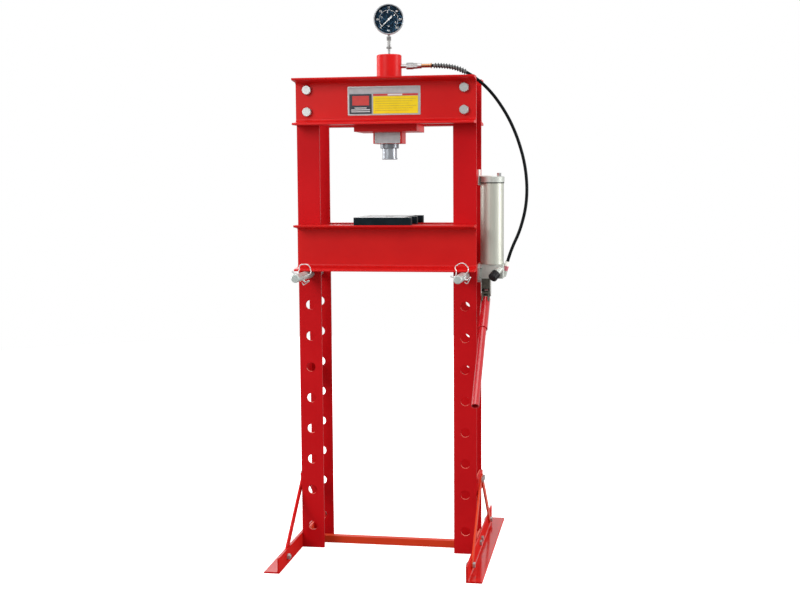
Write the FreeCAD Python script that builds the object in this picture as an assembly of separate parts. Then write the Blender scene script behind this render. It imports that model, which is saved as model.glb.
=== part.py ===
"""Workshop hydraulic press: a bolted frame, a bed on two pins, a ram and a side-mounted hand pump.

Millimetres. X runs to the right, Y to the back, Z up. The origin is on the floor, halfway between the posts.
"""

import FreeCAD, Part

import math
import os

V = FreeCAD.Vector

# Posts: a front and a rear flat bar each, tied by short plates on the outer side
frame_width = 620.0
post_depth = 155.0
post_width = 79.0
post_bar = 8.0
post_tie = 7.0
post_height = 1616.0
foot_tie_height = 50.0
middle_tie_level = 645.0
middle_tie_height = 80.0

# Upper beams and bed: one rolled channel section, flanges outward
beam_height = 157.0
beam_flange = 66.0
beam_web = 8.0
beam_tip = 7.0
beam_top = 1637.0

# Rolled sections in general
flange_slope = 0.10
root_radius = 10.0
toe_radius = 4.0

# Beam bolts
beam_bolt_size = 20.0
beam_bolt_line = 40.0
beam_bolt_upper = 37.5
beam_bolt_pitch = 74.0
bolt_hole_play = 2.0

# Bed pins and their holes
pin_diameter = 28.0
pin_hole_diameter = 32.0
pin_line = 39.0
pin_hole_top = 971.5
pin_hole_pitch = 109.0
pin_hole_count = 8
lowest_hole = 80.0
pin_front_reach = 202.0
pin_rear_reach = 72.0
pin_chamfer = 2.5
seat_gap = 0.3

# Bed
bed_play = 1.0
bed_side_play = 10.0
spacer_thickness = 8.0
spacer_inset = 9.0

# Arbor plate lying on the bed
arbor_width = 197.0
arbor_depth = 286.0
arbor_thickness = 26.0
arbor_hole = 32.0
arbor_shift = -2.0
arbor_notch_depth = 28.0
arbor_notch_front = 98.0
arbor_notch_rear = 110.0
arbor_land = 26.0
arbor_chamfer = 2.0

# Wire lock pins through the bed pins
lock_shank = 5.5
lock_play = 0.25
lock_wire = 3.0
lock_inset = 60.0
lock_shank_left = 18.0
lock_shank_right = 13.0
lock_hug = 2.0
lock_waist_height = 16.0
lock_waist_half = 13.0
lock_bow_level = 34.0
lock_bow_half = 26.0
lock_bow_top = 57.0
lock_tail_rise = 20.0
lock_tail_reach = 10.0
lock_tail_drop = 14.0
lock_tail_end = 8.0
lock_turn_left = -38.0
lock_turn_right = -12.0

# Feet, braces and crossbar
foot_length = 782.0
foot_width = 53.0
foot_height = 53.0
foot_thickness = 5.5
foot_root_radius = 6.0
foot_toe_radius = 3.0
foot_bolt_size = 12.0
foot_bolt_level = 27.0
foot_bolt_spread = 50.0
lug_depth = 140.0
lug_height = 60.0
lug_bottom = 205.0
brace_top_level = 250.0
brace_top_spread = 36.0
brace_foot_spread = 566.0
brace_width = 28.0
brace_thickness = 5.0
crossbar_size = 25.0
crossbar_wall = 2.0
end_plate_depth = 84.0
end_plate_height = 48.0
end_plate_thickness = 5.0

# Cylinder and ram
plate_width = 216.0
plate_depth = 168.0
plate_thickness = 23.0
guide_width = 100.0
guide_depth = 84.0
guide_height = 40.0
guide_radius = 3.0
barrel_diameter = 86.0
barrel_bore = 66.0
barrel_top = 1720.0
barrel_cap = 20.0
barrel_edge = 3.0
ram_diameter = 50.0
ram_play = 0.05
ram_nose_level = 1363.0
ram_nose_diameter = 54.0
ram_nose_height = 5.0
ram_nose_chamfer = 1.5
piston_top_level = 1662.0
piston_height = 25.0
gland_diameter = 64.0
gland_height = 16.0
gland_spigot_diameter = 58.0
gland_spigot = 14.0
gland_chamfer = 1.5
sign_width = 88.0
sign_height = 38.0
sign_thickness = 1.5

# Name plate on the front beam
name_width = 250.0
name_height = 97.0
name_thickness = 1.0
name_shift = -3.0
name_level = 1560.0
name_radius = 3.0

# Pressure gauge and its pipe
pipe_diameter = 10.0
pipe_nut_diameter = 16.0
pipe_neck_diameter = 12.0
pipe_length = 21.0
pipe_nut_height = 6.0
pipe_neck_length = 22.0
stem_hex = 14.0
stem_hex_height = 13.0
stem_neck_diameter = 11.0
gauge_level = 1839.0
gauge_turn = 9.0
gauge_case_diameter = 100.0
gauge_case_back = 16.0
gauge_step = 7.0
gauge_rim_depth = 18.0
gauge_rim = 1.5
gauge_edge = 4.0
bezel_diameter = 104.0
bezel_opening = 96.0
bezel_lip = 2.0
bezel_skirt = 10.0
dial_thickness = 1.0
dial_bore = 3.4
glass_thickness = 2.0
needle_reach = 40.0
needle_tail = 15.0
needle_tail_width = 6.0
needle_width = 4.0
needle_tip = 0.8
needle_thickness = 1.0
needle_lift = 3.0
needle_hub = 8.0
needle_shaft = 3.0
needle_zero = 225.0
shaft_play = 0.05

# Hose and its fittings at the barrel
hose_port_level = 1681.0
nipple_diameter = 14.0
nipple_length = 18.0
nipple_seat = 2.0
coupling_hex = 20.0
coupling_length = 24.0
swivel_hex = 17.0
swivel_length = 14.0
ferrule_diameter = 18.0
ferrule_length = 14.0
sleeve_diameter = 13.0
sleeve_length = 35.0
sleeve_collar = 18.0
sleeve_collar_length = 3.0
hose_diameter = 11.0
hose_sides = 12

# Spring guard wound round the hose's first stretch
guard_wire = 2.6
wire_sides = 8
guard_play = 0.6
guard_pitch = 9.0
guard_turns = 11
guard_lead = 5.0

# Fitting at the pump, leaning outward in the plane Y = 0
port_lean = 16.0
port_offset = 89.5
port_drop = 22.0
boss_diameter = 19.0
boss_length = 20.0
port_nut_hex = 16.0
port_nut_length = 16.0
port_ferrule_diameter = 15.0
port_ferrule_length = 16.0
port_face_diameter = 21.0
port_face_depth = 40.0

# Pump block on the right post
block_flange_depth = 100.0
block_flange_height = 60.0
block_flange_thickness = 8.0
block_flange_chamfer = 10.0
block_length = 80.0
block_depth = 68.0
block_height = 48.0
block_top = 1003.0
block_edge = 5.0
pump_screw_size = 8.0
pump_screw_spread = 84.0
pump_screw_pitch = 44.0

# Reservoir
reservoir_offset = 45.0
reservoir_diameter = 80.0
reservoir_wall = 3.0
reservoir_length = 279.5
cap_diameter = 84.0
cap_thickness = 20.0
cap_edge = 2.0
clip_depth = 50.0
clip_thickness = 3.0
clip_reach = 44.0
clip_rise = 24.0
clip_drop = 29.0
filler_hex = 14.0
filler_height = 12.0
filler_offset = 24.0

# Release valve: a neck and a knob on one slanted axis
valve_start = V(78.0, -30.5, -12.5)
valve_axis = V(-0.50, -0.62, -0.60)
valve_neck_diameter = 20.0
valve_neck_length = 27.0
valve_stem_diameter = 8.0
valve_stem_length = 14.0
knob_diameter = 32.0
knob_length = 26.0
knob_gap = 0.3
knob_edge = 2.0
knob_flutes = 10
knob_flute_radius = 2.5

# Pump piston, fulcrum and lever, all in the plane X = post face + lever_offset
lever_offset = 26.0
piston_back = 10.0
piston_rod = 14.0
piston_rod_top = 34.0
piston_bore_depth = 36.0
piston_eye = 22.0
gland_boss_top = 34.0
gland_boss_bottom = 26.0
gland_boss_length = 22.0
fulcrum_level = 903.0
fulcrum_arm = 28.0
lever_travel = 62.0
cross_pin = 10.0
slot_play = 1.0
fork_gap = 15.0
fork_plate = 6.0
link_gap = 0.5
link_thickness = 3.0
link_width = 20.0
lever_angle = 44.5
lever_axis_drop = 7.6
socket_start = 20.0
socket_plug = 10.0
socket_end = 150.0
socket_diameter = 32.0
handle_diameter = 25.0
handle_wall = 2.5
handle_end = 468.0
handle_play = 0.05
fork_end_radius = 10.0
socket_margin = 2.0
fork_root = 38.0

# Hexagon bolts: head height and width over flats as shares of the thread size
head_height_share = 0.64
head_flats_share = 1.5
nut_height_share = 0.8


# Places worked out from the driving dimensions
right = 1
left = -1
post_face = frame_width / 2
tie_inside = post_face - post_tie
post_front = -post_depth / 2
bolt_x = post_face - beam_bolt_line
pin_x = post_face - pin_line
pin_level = pin_hole_top - (pin_hole_diameter - pin_diameter) / 2 + seat_gap
bed_bottom = pin_level + pin_diameter / 2 + seat_gap
bed_top = bed_bottom + beam_height
beam_bottom = beam_top - beam_height
plate_bottom = beam_bottom - plate_thickness
guide_bottom = plate_bottom - guide_height
gland_bottom = guide_bottom - gland_height
foot_outside = post_face + foot_thickness
lever_x = post_face + lever_offset
block_bottom = block_top - block_height
block_start = post_face + block_flange_thickness
reservoir_x = post_face + reservoir_offset
reservoir_top = block_top + reservoir_length
clip_top = reservoir_top + cap_thickness


def box(x0, x1, y0, y1, z0, z1):
    return Part.makeBox(x1 - x0, y1 - y0, z1 - z0, V(x0, y0, z0))


def rod(start, end, diameter):
    along = end - start
    return Part.makeCylinder(diameter / 2, along.Length, start, along)


def taper(start, end, start_diameter, end_diameter):
    along = end - start
    return Part.makeCone(start_diameter / 2, end_diameter / 2, along.Length, start, along)


def ring(start, end, outer, inner):
    return rod(start, end, outer).cut(rod(start, end, inner))


def rounded_corner(before, here, after, radius):
    """Entry, middle and exit points of the arc that rounds one corner."""
    back = (before - here).normalize()
    onward = (after - here).normalize()
    half = back.getAngle(onward) / 2
    reach = radius / math.tan(half)
    middle = here + (back + onward).normalize() * (radius / math.sin(half) - radius)
    return here + back * reach, middle, here + onward * reach


def outline(corners, place):
    """Closed wire through (u, v, radius) corners; place turns u and v into a point."""
    flat = [V(u, v, 0) for u, v, radius in corners]
    stretches = []
    for i, (u, v, radius) in enumerate(corners):
        after = flat[(i + 1) % len(flat)]
        if radius:
            stretches.append(rounded_corner(flat[i - 1], flat[i], after, radius))
        else:
            stretches.append((flat[i], flat[i], flat[i]))
    edges = []
    for i, (entry, middle, leave) in enumerate(stretches):
        last = stretches[i - 1][2]
        if last.distanceToPoint(entry) > 1e-6:
            edges.append(Part.LineSegment(place(last.x, last.y), place(entry.x, entry.y)).toShape())
        if entry.distanceToPoint(leave) > 1e-6:
            points = [place(p.x, p.y) for p in (entry, middle, leave)]
            edges.append(Part.Arc(*points).toShape())
    return Part.Wire(edges)


def prism(corners, place, along):
    return Part.Face(outline(corners, place)).extrude(along)


def channel_corners(height, flange, web, tip):
    """Rolled channel: u from the back of the web to the toes, v over its height, inner faces sloping."""
    half = height / 2
    root = tip + flange_slope * (flange - web)
    return [
        (0, -half, 0),
        (flange, -half, 0),
        (flange, -half + tip, toe_radius),
        (web, -half + root, root_radius),
        (web, half - root, root_radius),
        (flange, half - tip, toe_radius),
        (flange, half, 0),
        (0, half, 0),
    ]


def hexagon(start, end, flats):
    """Hexagonal prism with corners up and down."""
    along = end - start
    side = along.cross(V(0, 0, 1))
    if side.Length < 1e-6:
        side = V(1, 0, 0)
    side = side.normalize()
    up = side.cross(along).normalize()
    corner = flats / math.sqrt(3)
    points = []
    for i in range(6):
        turn = math.radians(60 * i)
        points.append(start + up * (corner * math.cos(turn)) + side * (corner * math.sin(turn)))
    return Part.Face(Part.makePolygon(points + points[:1])).extrude(along)


def bolt(seat, into, size, length, chamfered=False):
    """Hexagon bolt whose head sits on seat and whose shank runs along into."""
    into = V(into).normalize()
    top = seat - into * (size * head_height_share)
    flats = size * head_flats_share
    head = hexagon(top, seat, flats)
    if chamfered:
        head = head.common(taper(top, seat, flats * 0.96, flats * 1.4))
    return head.fuse(rod(seat, seat + into * length, size))


def nut(seat, away, size):
    """Hexagon nut with one face on seat, reaching away from it."""
    away = V(away).normalize()
    far = seat + away * (size * nut_height_share)
    bore = rod(seat, far, size)
    return hexagon(seat, far, size * head_flats_share).cut(bore)


def drill(shape, points, along, diameter):
    """Round holes through shape, one at each point, centred on it."""
    for point in points:
        shape = shape.cut(rod(point - along, point + along, diameter))
    return shape


# Frame

def beam_bolt_levels():
    top = beam_top - beam_bolt_upper
    return [top, top - beam_bolt_pitch]


def pin_hole_levels():
    levels = [pin_hole_top - pin_hole_pitch * i for i in range(pin_hole_count)]
    return levels + [lowest_hole]


def tie_levels(side):
    """Bottom and top of each plate that ties the two bars of a post."""
    middle = middle_tie_level - middle_tie_height / 2
    levels = [(0, foot_tie_height), (lug_bottom, lug_bottom + lug_height), (middle, middle + middle_tie_height)]
    if side == right:
        levels += [(block_top - block_flange_height, block_top), (clip_top - clip_drop, clip_top + clip_rise)]
    return levels


def post(side):
    half = post_depth / 2
    inner = min(side * post_face, side * (post_face - post_width))
    rear = box(inner, inner + post_width, half - post_bar, half, 0, post_height)
    front = box(inner, inner + post_width, -half, post_bar - half, 0, post_height)
    start = min(side * post_face, side * tie_inside)
    ties = [box(start, start + post_tie, post_bar - half, half - post_bar, low, high)
            for low, high in tie_levels(side)]
    shape = front.fuse([rear] + ties)
    through = V(0, post_depth, 0)
    pins = [V(side * pin_x, 0, z) for z in pin_hole_levels()]
    shape = drill(shape, pins, through, pin_hole_diameter)
    bolts = [V(side * bolt_x, 0, z) for z in beam_bolt_levels()]
    shape = drill(shape, bolts, through, beam_bolt_size + bolt_hole_play)
    across = V(2 * post_tie, 0, 0)
    small = [V(side * post_face, y, foot_bolt_level) for y in foot_bolt_places()]
    small += [V(side * post_face, y, brace_top_level) for y in brace_top_places()]
    shape = drill(shape, small, across, foot_bolt_size)
    if side == right:
        shape = drill(shape, pump_screw_places(), across, pump_screw_size)
    return shape.removeSplitter()


def top_beam(side):
    """Upper beam: side is -1 for the front and 1 for the rear."""
    corners = channel_corners(beam_height, beam_flange, beam_web, beam_tip)
    centre = beam_top - beam_height / 2
    place = lambda u, v: V(-frame_width / 2, side * (post_depth / 2 + u), centre + v)
    shape = prism(corners, place, V(frame_width, 0, 0))
    holes = [V(x, side * post_depth / 2, z) for x in (-bolt_x, bolt_x) for z in beam_bolt_levels()]
    return drill(shape, holes, V(0, beam_flange, 0), beam_bolt_size + bolt_hole_play)


def beam_bolt_places():
    return [(x, side, z) for x in (-bolt_x, bolt_x) for side in (-1, 1) for z in beam_bolt_levels()]


def beam_bolts():
    length = beam_web + post_bar + beam_bolt_size
    outside = post_depth / 2 + beam_web
    shapes = [bolt(V(x, s * outside, z), V(0, -s, 0), beam_bolt_size, length, True)
              for x, s, z in beam_bolt_places()]
    return Part.makeCompound(shapes)


def beam_nuts():
    inside = post_depth / 2 - post_bar
    shapes = [nut(V(x, s * inside, z), V(0, -s, 0), beam_bolt_size) for x, s, z in beam_bolt_places()]
    return Part.makeCompound(shapes)


def name_plate():
    front = post_front - beam_web
    half_width = name_width / 2
    half_height = name_height / 2
    corners = [(u, v, name_radius) for u, v in (
        (-half_width, -half_height), (half_width, -half_height),
        (half_width, half_height), (-half_width, half_height))]
    place = lambda u, v: V(name_shift + u, front, name_level + v)
    return prism(corners, place, V(0, -name_thickness, 0))


# Feet and braces

def foot_bolt_places():
    return [-foot_bolt_spread / 2, foot_bolt_spread / 2]


def brace_top_places():
    return [-brace_top_spread / 2, brace_top_spread / 2]


def brace_foot_places():
    return [-brace_foot_spread / 2, brace_foot_spread / 2]


def foot(side):
    corners = [
        (0, 0, 0),
        (foot_width, 0, 0),
        (foot_width, foot_thickness, foot_toe_radius),
        (foot_thickness, foot_thickness, foot_root_radius),
        (foot_thickness, foot_height, foot_toe_radius),
        (0, foot_height, 0),
    ]
    place = lambda u, v: V(side * (post_face + u), -foot_length / 2, v)
    shape = prism(corners, place, V(0, foot_length, 0))
    places = foot_bolt_places() + brace_foot_places()
    holes = [V(side * post_face, y, foot_bolt_level) for y in places]
    return drill(shape, holes, V(2 * foot_thickness, 0, 0), foot_bolt_size)


def brace_lug(side):
    inner = min(side * post_face, side * foot_outside)
    shape = box(inner, inner + foot_thickness, -lug_depth / 2, lug_depth / 2, lug_bottom, lug_bottom + lug_height)
    holes = [V(side * post_face, y, brace_top_level) for y in brace_top_places()]
    return drill(shape, holes, V(2 * foot_thickness, 0, 0), foot_bolt_size)


def brace(side, top_y, foot_y):
    """Flat bar with round ends, in the plane just outside the lug and the foot's upright leg."""
    top = V(side * foot_outside, top_y, brace_top_level)
    low = V(side * foot_outside, foot_y, foot_bolt_level)
    along = (top - low).normalize()
    sideways = V(0, -along.z, along.y)
    half = brace_width / 2
    rounding = half * 0.999
    length = (top - low).Length
    corners = [
        (-half, -half, rounding),
        (length + half, -half, rounding),
        (length + half, half, rounding),
        (-half, half, rounding),
    ]
    place = lambda u, v: low + along * u + sideways * v
    shape = prism(corners, place, V(side * brace_thickness, 0, 0))
    return drill(shape, [top, low], V(2 * brace_thickness, 0, 0), foot_bolt_size)


def small_bolt_places():
    """Seat of each foot and brace bolt's head, and where its nut sits: (side, y, z, head x, nut x)."""
    places = []
    for side in (left, right):
        for y in foot_bolt_places():
            places.append((side, y, foot_bolt_level, foot_outside, tie_inside - end_plate_thickness))
        for y in brace_top_places():
            places.append((side, y, brace_top_level, foot_outside + brace_thickness, tie_inside))
        for y in brace_foot_places():
            places.append((side, y, foot_bolt_level, foot_outside + brace_thickness, post_face))
    return places


def foot_bolts():
    shapes = []
    for side, y, z, head, seat in small_bolt_places():
        length = head - seat + foot_bolt_size
        shapes.append(bolt(V(side * head, y, z), V(-side, 0, 0), foot_bolt_size, length))
    return Part.makeCompound(shapes)


def foot_nuts():
    shapes = [nut(V(side * seat, y, z), V(-side, 0, 0), foot_bolt_size)
              for side, y, z, head, seat in small_bolt_places()]
    return Part.makeCompound(shapes)


def base_crossbar():
    """Square tube between the posts, closed by an end plate that the foot bolts clamp to each post's low tie."""
    reach = tie_inside - end_plate_thickness
    half = crossbar_size / 2
    hollow = half - crossbar_wall
    shape = box(-reach, reach, -half, half, 0, crossbar_size)
    shape = shape.cut(box(-reach, reach, -hollow, hollow, half - hollow, half + hollow))
    for side in (left, right):
        inner = min(side * reach, side * tie_inside)
        plate = box(inner, inner + end_plate_thickness, -end_plate_depth / 2, end_plate_depth / 2,
                    0, end_plate_height)
        holes = [V(side * reach, y, foot_bolt_level) for y in foot_bolt_places()]
        shape = shape.fuse(drill(plate, holes, V(2 * end_plate_thickness, 0, 0), foot_bolt_size))
    return shape.removeSplitter()


# Cylinder and ram, on the Z axis

def axis(z):
    return V(0, 0, z)


def cylinder_mount_plate():
    shape = box(-plate_width / 2, plate_width / 2, -plate_depth / 2, plate_depth / 2, plate_bottom, beam_bottom)
    return shape.cut(rod(axis(plate_bottom), axis(beam_bottom), barrel_diameter))


def guide_block():
    half_width = guide_width / 2
    half_depth = guide_depth / 2
    corners = [(u, v, guide_radius) for u, v in (
        (-half_width, -half_depth), (half_width, -half_depth),
        (half_width, half_depth), (-half_width, half_depth))]
    shape = prism(corners, lambda u, v: V(u, v, guide_bottom), V(0, 0, guide_height))
    shape = shape.cut(rod(axis(guide_bottom), axis(plate_bottom), ram_diameter + 2 * ram_play))
    return shape.cut(rod(axis(guide_bottom), axis(guide_bottom + gland_spigot), gland_spigot_diameter))


def gland_ring():
    """Ring below the guide block: a visible collar and a spigot seated in the block."""
    shape = rod(axis(gland_bottom), axis(guide_bottom), gland_diameter)
    shape = shape.makeChamfer(gland_chamfer, [low_edge(shape)])
    shape = shape.fuse(rod(axis(guide_bottom), axis(guide_bottom + gland_spigot), gland_spigot_diameter))
    bore = rod(axis(gland_bottom), axis(guide_bottom + gland_spigot), ram_diameter + 2 * ram_play)
    return shape.cut(bore).removeSplitter()


def round_edge(shape, centre):
    """The circular edge of shape whose centre lies nearest to a point, the widest first."""
    circles = [e for e in shape.Edges if isinstance(e.Curve, Part.Circle)]
    return min(circles, key=lambda e: (round(e.Curve.Center.distanceToPoint(centre), 3), -e.Curve.Radius))


def low_edge(shape):
    return round_edge(shape, V(0, 0, shape.BoundBox.ZMin))


def high_edge(shape):
    return round_edge(shape, V(0, 0, shape.BoundBox.ZMax))


def cylinder_barrel():
    shape = rod(axis(plate_bottom), axis(barrel_top), barrel_diameter)
    shape = shape.makeChamfer(barrel_edge, [high_edge(shape)])
    shape = shape.cut(rod(axis(plate_bottom), axis(barrel_top - barrel_cap), barrel_bore))
    wall = barrel_diameter / 2
    port = rod(V(barrel_bore / 2 - 1, 0, hose_port_level), V(wall + 1, 0, hose_port_level), nipple_diameter)
    return shape.cut(port)


def ram():
    """Ram with its piston head, shown drawn up."""
    nose = ram_nose_level + ram_nose_height
    tip = rod(axis(ram_nose_level), axis(nose), ram_nose_diameter)
    tip = tip.makeChamfer(ram_nose_chamfer, [low_edge(tip)])
    shaft = rod(axis(nose), axis(piston_top_level - piston_height), ram_diameter)
    head = rod(axis(piston_top_level - piston_height), axis(piston_top_level), barrel_bore - 2 * ram_play)
    return tip.fuse(shaft).fuse(head).removeSplitter()


def sign_plate():
    """Bare plate on the front of the guide block."""
    front = -guide_depth / 2
    centre = guide_bottom + guide_height / 2
    return box(-sign_width / 2, sign_width / 2, front - sign_thickness, front,
               centre - sign_height / 2, centre + sign_height / 2)


# Gauge, facing the front, on a pipe from the barrel's cap

def gauge_pipe():
    first = barrel_top + pipe_length
    second = first + pipe_nut_height
    top = second + pipe_neck_length
    shape = rod(axis(barrel_top), axis(first), pipe_diameter)
    shape = shape.fuse(hexagon(axis(first), axis(second), pipe_nut_diameter))
    return shape.fuse(rod(axis(second), axis(top), pipe_neck_diameter))


def gauge_point(depth):
    """Point on the gauge's own axis, depth in front of its middle; the face is turned a little to the right."""
    turn = math.radians(gauge_turn)
    return V(depth * math.sin(turn), -depth * math.cos(turn), gauge_level)


def gauge_case():
    """Case with a solid back, a rim round the dial and the stem that screws onto the pipe."""
    outer = gauge_case_diameter
    back = rod(gauge_point(-gauge_case_back), gauge_point(gauge_step), outer)
    back = back.makeChamfer(gauge_edge, [round_edge(back, gauge_point(-gauge_case_back))])
    rim = ring(gauge_point(gauge_step), gauge_point(gauge_rim_depth), outer, outer - 2 * gauge_rim)
    low = barrel_top + pipe_length + pipe_nut_height + pipe_neck_length
    high = low + stem_hex_height
    neck = rod(axis(high), axis(gauge_level - outer / 2 + gauge_edge), stem_neck_diameter)
    shape = back.fuse([rim, hexagon(axis(low), axis(high), stem_hex), neck])
    shaft = rod(gauge_point(gauge_step - gauge_case_back), gauge_point(gauge_step), needle_shaft + 2 * shaft_play)
    return shape.cut(shaft).removeSplitter()


def gauge_bezel():
    front = gauge_point(gauge_rim_depth + bezel_lip)
    seat = gauge_point(gauge_rim_depth)
    lip = ring(seat, front, bezel_diameter, bezel_opening)
    skirt = ring(gauge_point(gauge_rim_depth - bezel_skirt), seat, bezel_diameter, gauge_case_diameter)
    shape = lip.fuse(skirt).removeSplitter()
    return shape.makeChamfer(bezel_lip / 2, [round_edge(shape, front)])


def gauge_dial():
    """Printed disc lying on the step inside the rim."""
    disc = gauge_case_diameter - 2 * gauge_rim
    return ring(gauge_point(gauge_step), gauge_point(gauge_step + dial_thickness), disc, dial_bore)


def gauge_glass():
    disc = gauge_case_diameter - 2 * gauge_rim
    return rod(gauge_point(gauge_rim_depth - glass_thickness), gauge_point(gauge_rim_depth), disc)


def gauge_needle():
    """Pointer on its hub and shaft, resting at the dial's zero at the lower left."""
    low = gauge_step + dial_thickness + needle_lift
    high = low + needle_thickness
    turn = math.radians(needle_zero)
    facing = gauge_point(1) - gauge_point(0)
    level = facing.cross(V(0, 0, -1))
    up = V(0, 0, 1)
    along = level * math.cos(turn) + up * math.sin(turn)
    sideways = up * math.cos(turn) - level * math.sin(turn)
    corners = [
        (-needle_tail, -needle_tail_width / 2, 0),
        (0, -needle_width / 2, 0),
        (needle_reach, -needle_tip / 2, 0),
        (needle_reach, needle_tip / 2, 0),
        (0, needle_width / 2, 0),
        (-needle_tail, needle_tail_width / 2, 0),
    ]
    place = lambda u, v: gauge_point(low) + along * u + sideways * v
    blade = prism(corners, place, facing * needle_thickness)
    hub = rod(gauge_point(low), gauge_point(high + needle_thickness), needle_hub)
    shaft = rod(gauge_point(gauge_step - gauge_edge), gauge_point(low), needle_shaft)
    return blade.fuse([hub, shaft]).removeSplitter()


# Hose and its fittings, in the plane Y = 0

def port_line(x):
    return V(x, 0, hose_port_level)


nipple_start = barrel_diameter / 2 - nipple_seat
nipple_end = nipple_start + nipple_seat + nipple_length
coupling_end = nipple_end + coupling_length
swivel_end = coupling_end + swivel_length
ferrule_end = swivel_end + ferrule_length
sleeve_end = ferrule_end + sleeve_length

lean = math.radians(port_lean)
port_axis = V(math.sin(lean), 0, math.cos(lean))
port_base = V(post_face + port_offset, 0, block_top - port_drop)
port_nut_end = port_base + port_axis * port_nut_length
port_end = port_nut_end + port_axis * port_ferrule_length


def hose_nipple():
    return rod(port_line(nipple_start), port_line(nipple_end), nipple_diameter)


def hose_couplings():
    first = hexagon(port_line(nipple_end), port_line(coupling_end), coupling_hex)
    second = hexagon(port_line(coupling_end), port_line(swivel_end), swivel_hex)
    return first.fuse(second)


def hose_ferrule():
    return rod(port_line(swivel_end), port_line(ferrule_end), ferrule_diameter)


def hose_sleeve():
    collar = sleeve_end - sleeve_collar_length
    shape = rod(port_line(ferrule_end), port_line(sleeve_end), sleeve_diameter)
    return shape.fuse(rod(port_line(collar), port_line(sleeve_end), sleeve_collar)).removeSplitter()


def port_nut():
    return hexagon(port_base, port_nut_end, port_nut_hex)


def port_ferrule():
    return rod(port_nut_end, port_end, port_ferrule_diameter)


def hose_route():
    """The hose's route, chosen by eye: over the post's top, out to the right and down into the pump."""
    last_run = 43.0
    chosen = [(201.0, 1681.0), (265.5, 1661.0), (342.5, 1602.5), (407.0, 1512.0), (448.0, 1417.5),
              (472.0, 1319.5), (475.0, 1216.5), (452.5, 1120.5)]
    points = [port_line(sleeve_end)] + [V(x, 0, z) for x, z in chosen]
    return points + [port_end + port_axis * last_run, port_end]


def route_pieces(points, share=0.45):
    """Straight runs and tangent arcs along a route: a list of edges, and the radii of its arcs."""
    edges = []
    radii = []
    last = points[0]
    for before, here, after in zip(points, points[1:], points[2:]):
        back = (before - here).normalize()
        onward = (after - here).normalize()
        half = back.getAngle(onward) / 2
        shorter = min(here.distanceToPoint(before), here.distanceToPoint(after))
        radius = share * shorter * math.tan(half)
        entry, middle, leave = rounded_corner(before, here, after, radius)
        edges.append(Part.LineSegment(last, entry).toShape())
        edges.append(Part.Arc(entry, middle, leave).toShape())
        radii.append(radius)
        last = leave
    edges.append(Part.LineSegment(last, points[-1]).toShape())
    return edges, radii


def tube_along(edges, diameter, sides):
    """Solid along joined edges, its section a polygon of many sides with the diameter over its corners."""
    start = edges[0].valueAt(edges[0].FirstParameter)
    heading = edges[0].tangentAt(edges[0].FirstParameter)
    side = heading.cross(V(0, 1, 0))
    if side.Length < 1e-6:
        side = heading.cross(V(1, 0, 0))
    side = side.normalize() * (diameter / 2)
    up = heading.cross(side)
    turns = [2 * math.pi * (i + 0.5) / sides for i in range(sides)]
    points = [start + side * math.cos(turn) + up * math.sin(turn) for turn in turns]
    return Part.Wire(edges).makePipeShell([Part.makePolygon(points + points[:1])], True, False)


def section_area(diameter, sides):
    return sides / 2 * (diameter / 2) ** 2 * math.sin(2 * math.pi / sides)


def hose():
    edges, radii = route_pieces(hose_route())
    shape = tube_along(edges, hose_diameter, hose_sides)
    length = sum(e.Length for e in edges)
    section = section_area(hose_diameter, hose_sides)
    print("hose length", round(length, 1), "volume ratio", round(shape.Volume / (section * length), 4))
    print("hose radii", [round(r) for r in radii])
    return shape


def along_route(edges, distance):
    """Point and heading at a distance along joined edges."""
    for edge in edges:
        if distance <= edge.Length or edge is edges[-1]:
            at = edge.getParameterByLength(distance)
            return edge.valueAt(at), edge.tangentAt(at)
        distance -= edge.Length


def guard_point(edges, turn):
    """Point of the guard's wire after a number of turns round the hose."""
    radius = hose_diameter / 2 + guard_play + guard_wire / 2
    centre, heading = along_route(edges, guard_wire + guard_lead + guard_pitch * turn)
    outward = V(heading.z, 0, -heading.x)
    angle = 2 * math.pi * turn
    return centre + outward * (radius * math.cos(angle)) + V(0, radius * math.sin(angle), 0)


def half_arc(start, corner, end):
    """Arc from start to end, tangent to the two equal legs that meet at corner."""
    chord = (start + end) * 0.5
    reach = start.distanceToPoint(end) / 2
    leg = start.distanceToPoint(corner)
    bend = math.acos(min(1.0, reach / leg))
    middle = chord + (corner - chord).normalize() * (reach * math.tan(bend / 2))
    return Part.Arc(start, middle, end).toShape()


def biarc(start, heading, end, arrival):
    """Two arcs from start to end with the given unit tangents."""
    span = end - start
    spread = 2 * (1 - heading.dot(arrival))
    lean_in = span.dot(heading + arrival)
    leg = (-lean_in + math.sqrt(lean_in ** 2 + spread * span.dot(span))) / spread
    first = start + heading * leg
    second = end - arrival * leg
    joint = (first + second) * 0.5
    return [half_arc(start, first, joint), half_arc(joint, second, end)]


def hose_spring_guard():
    """Wire wound round the hose, from the sleeve's collar on, in half turns."""
    route, radii = route_pieces(hose_route())
    step = 1e-4
    halves = 2
    lead_turn = 0.25
    seat = along_route(route, 0)
    side = guard_point(route, -lead_turn) - along_route(route, guard_lead + guard_wire - guard_pitch * lead_turn)[0]
    foot = seat[0] + side
    points = [foot + seat[1] * guard_wire]
    headings = [seat[1]]
    edges = [Part.LineSegment(foot, points[0]).toShape()]
    for i in range(guard_turns * halves + 1):
        turn = i / halves
        points.append(guard_point(route, turn))
        headings.append((guard_point(route, turn + step) - guard_point(route, turn)).normalize())
    for i in range(len(points) - 1):
        edges += biarc(points[i], headings[i], points[i + 1], headings[i + 1])
    samples = 24
    line = [guard_point(route, i / samples) for i in range(guard_turns * samples + 1)]
    gaps = [line[i].distanceToPoint(line[j]) for i in range(len(line))
            for j in range(i + samples // 2, min(len(line), i + 2 * samples))]
    print("guard least gap to itself", round(min(gaps) - guard_wire, 2))
    return tube_along(edges, guard_wire, wire_sides)


# Pump

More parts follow.
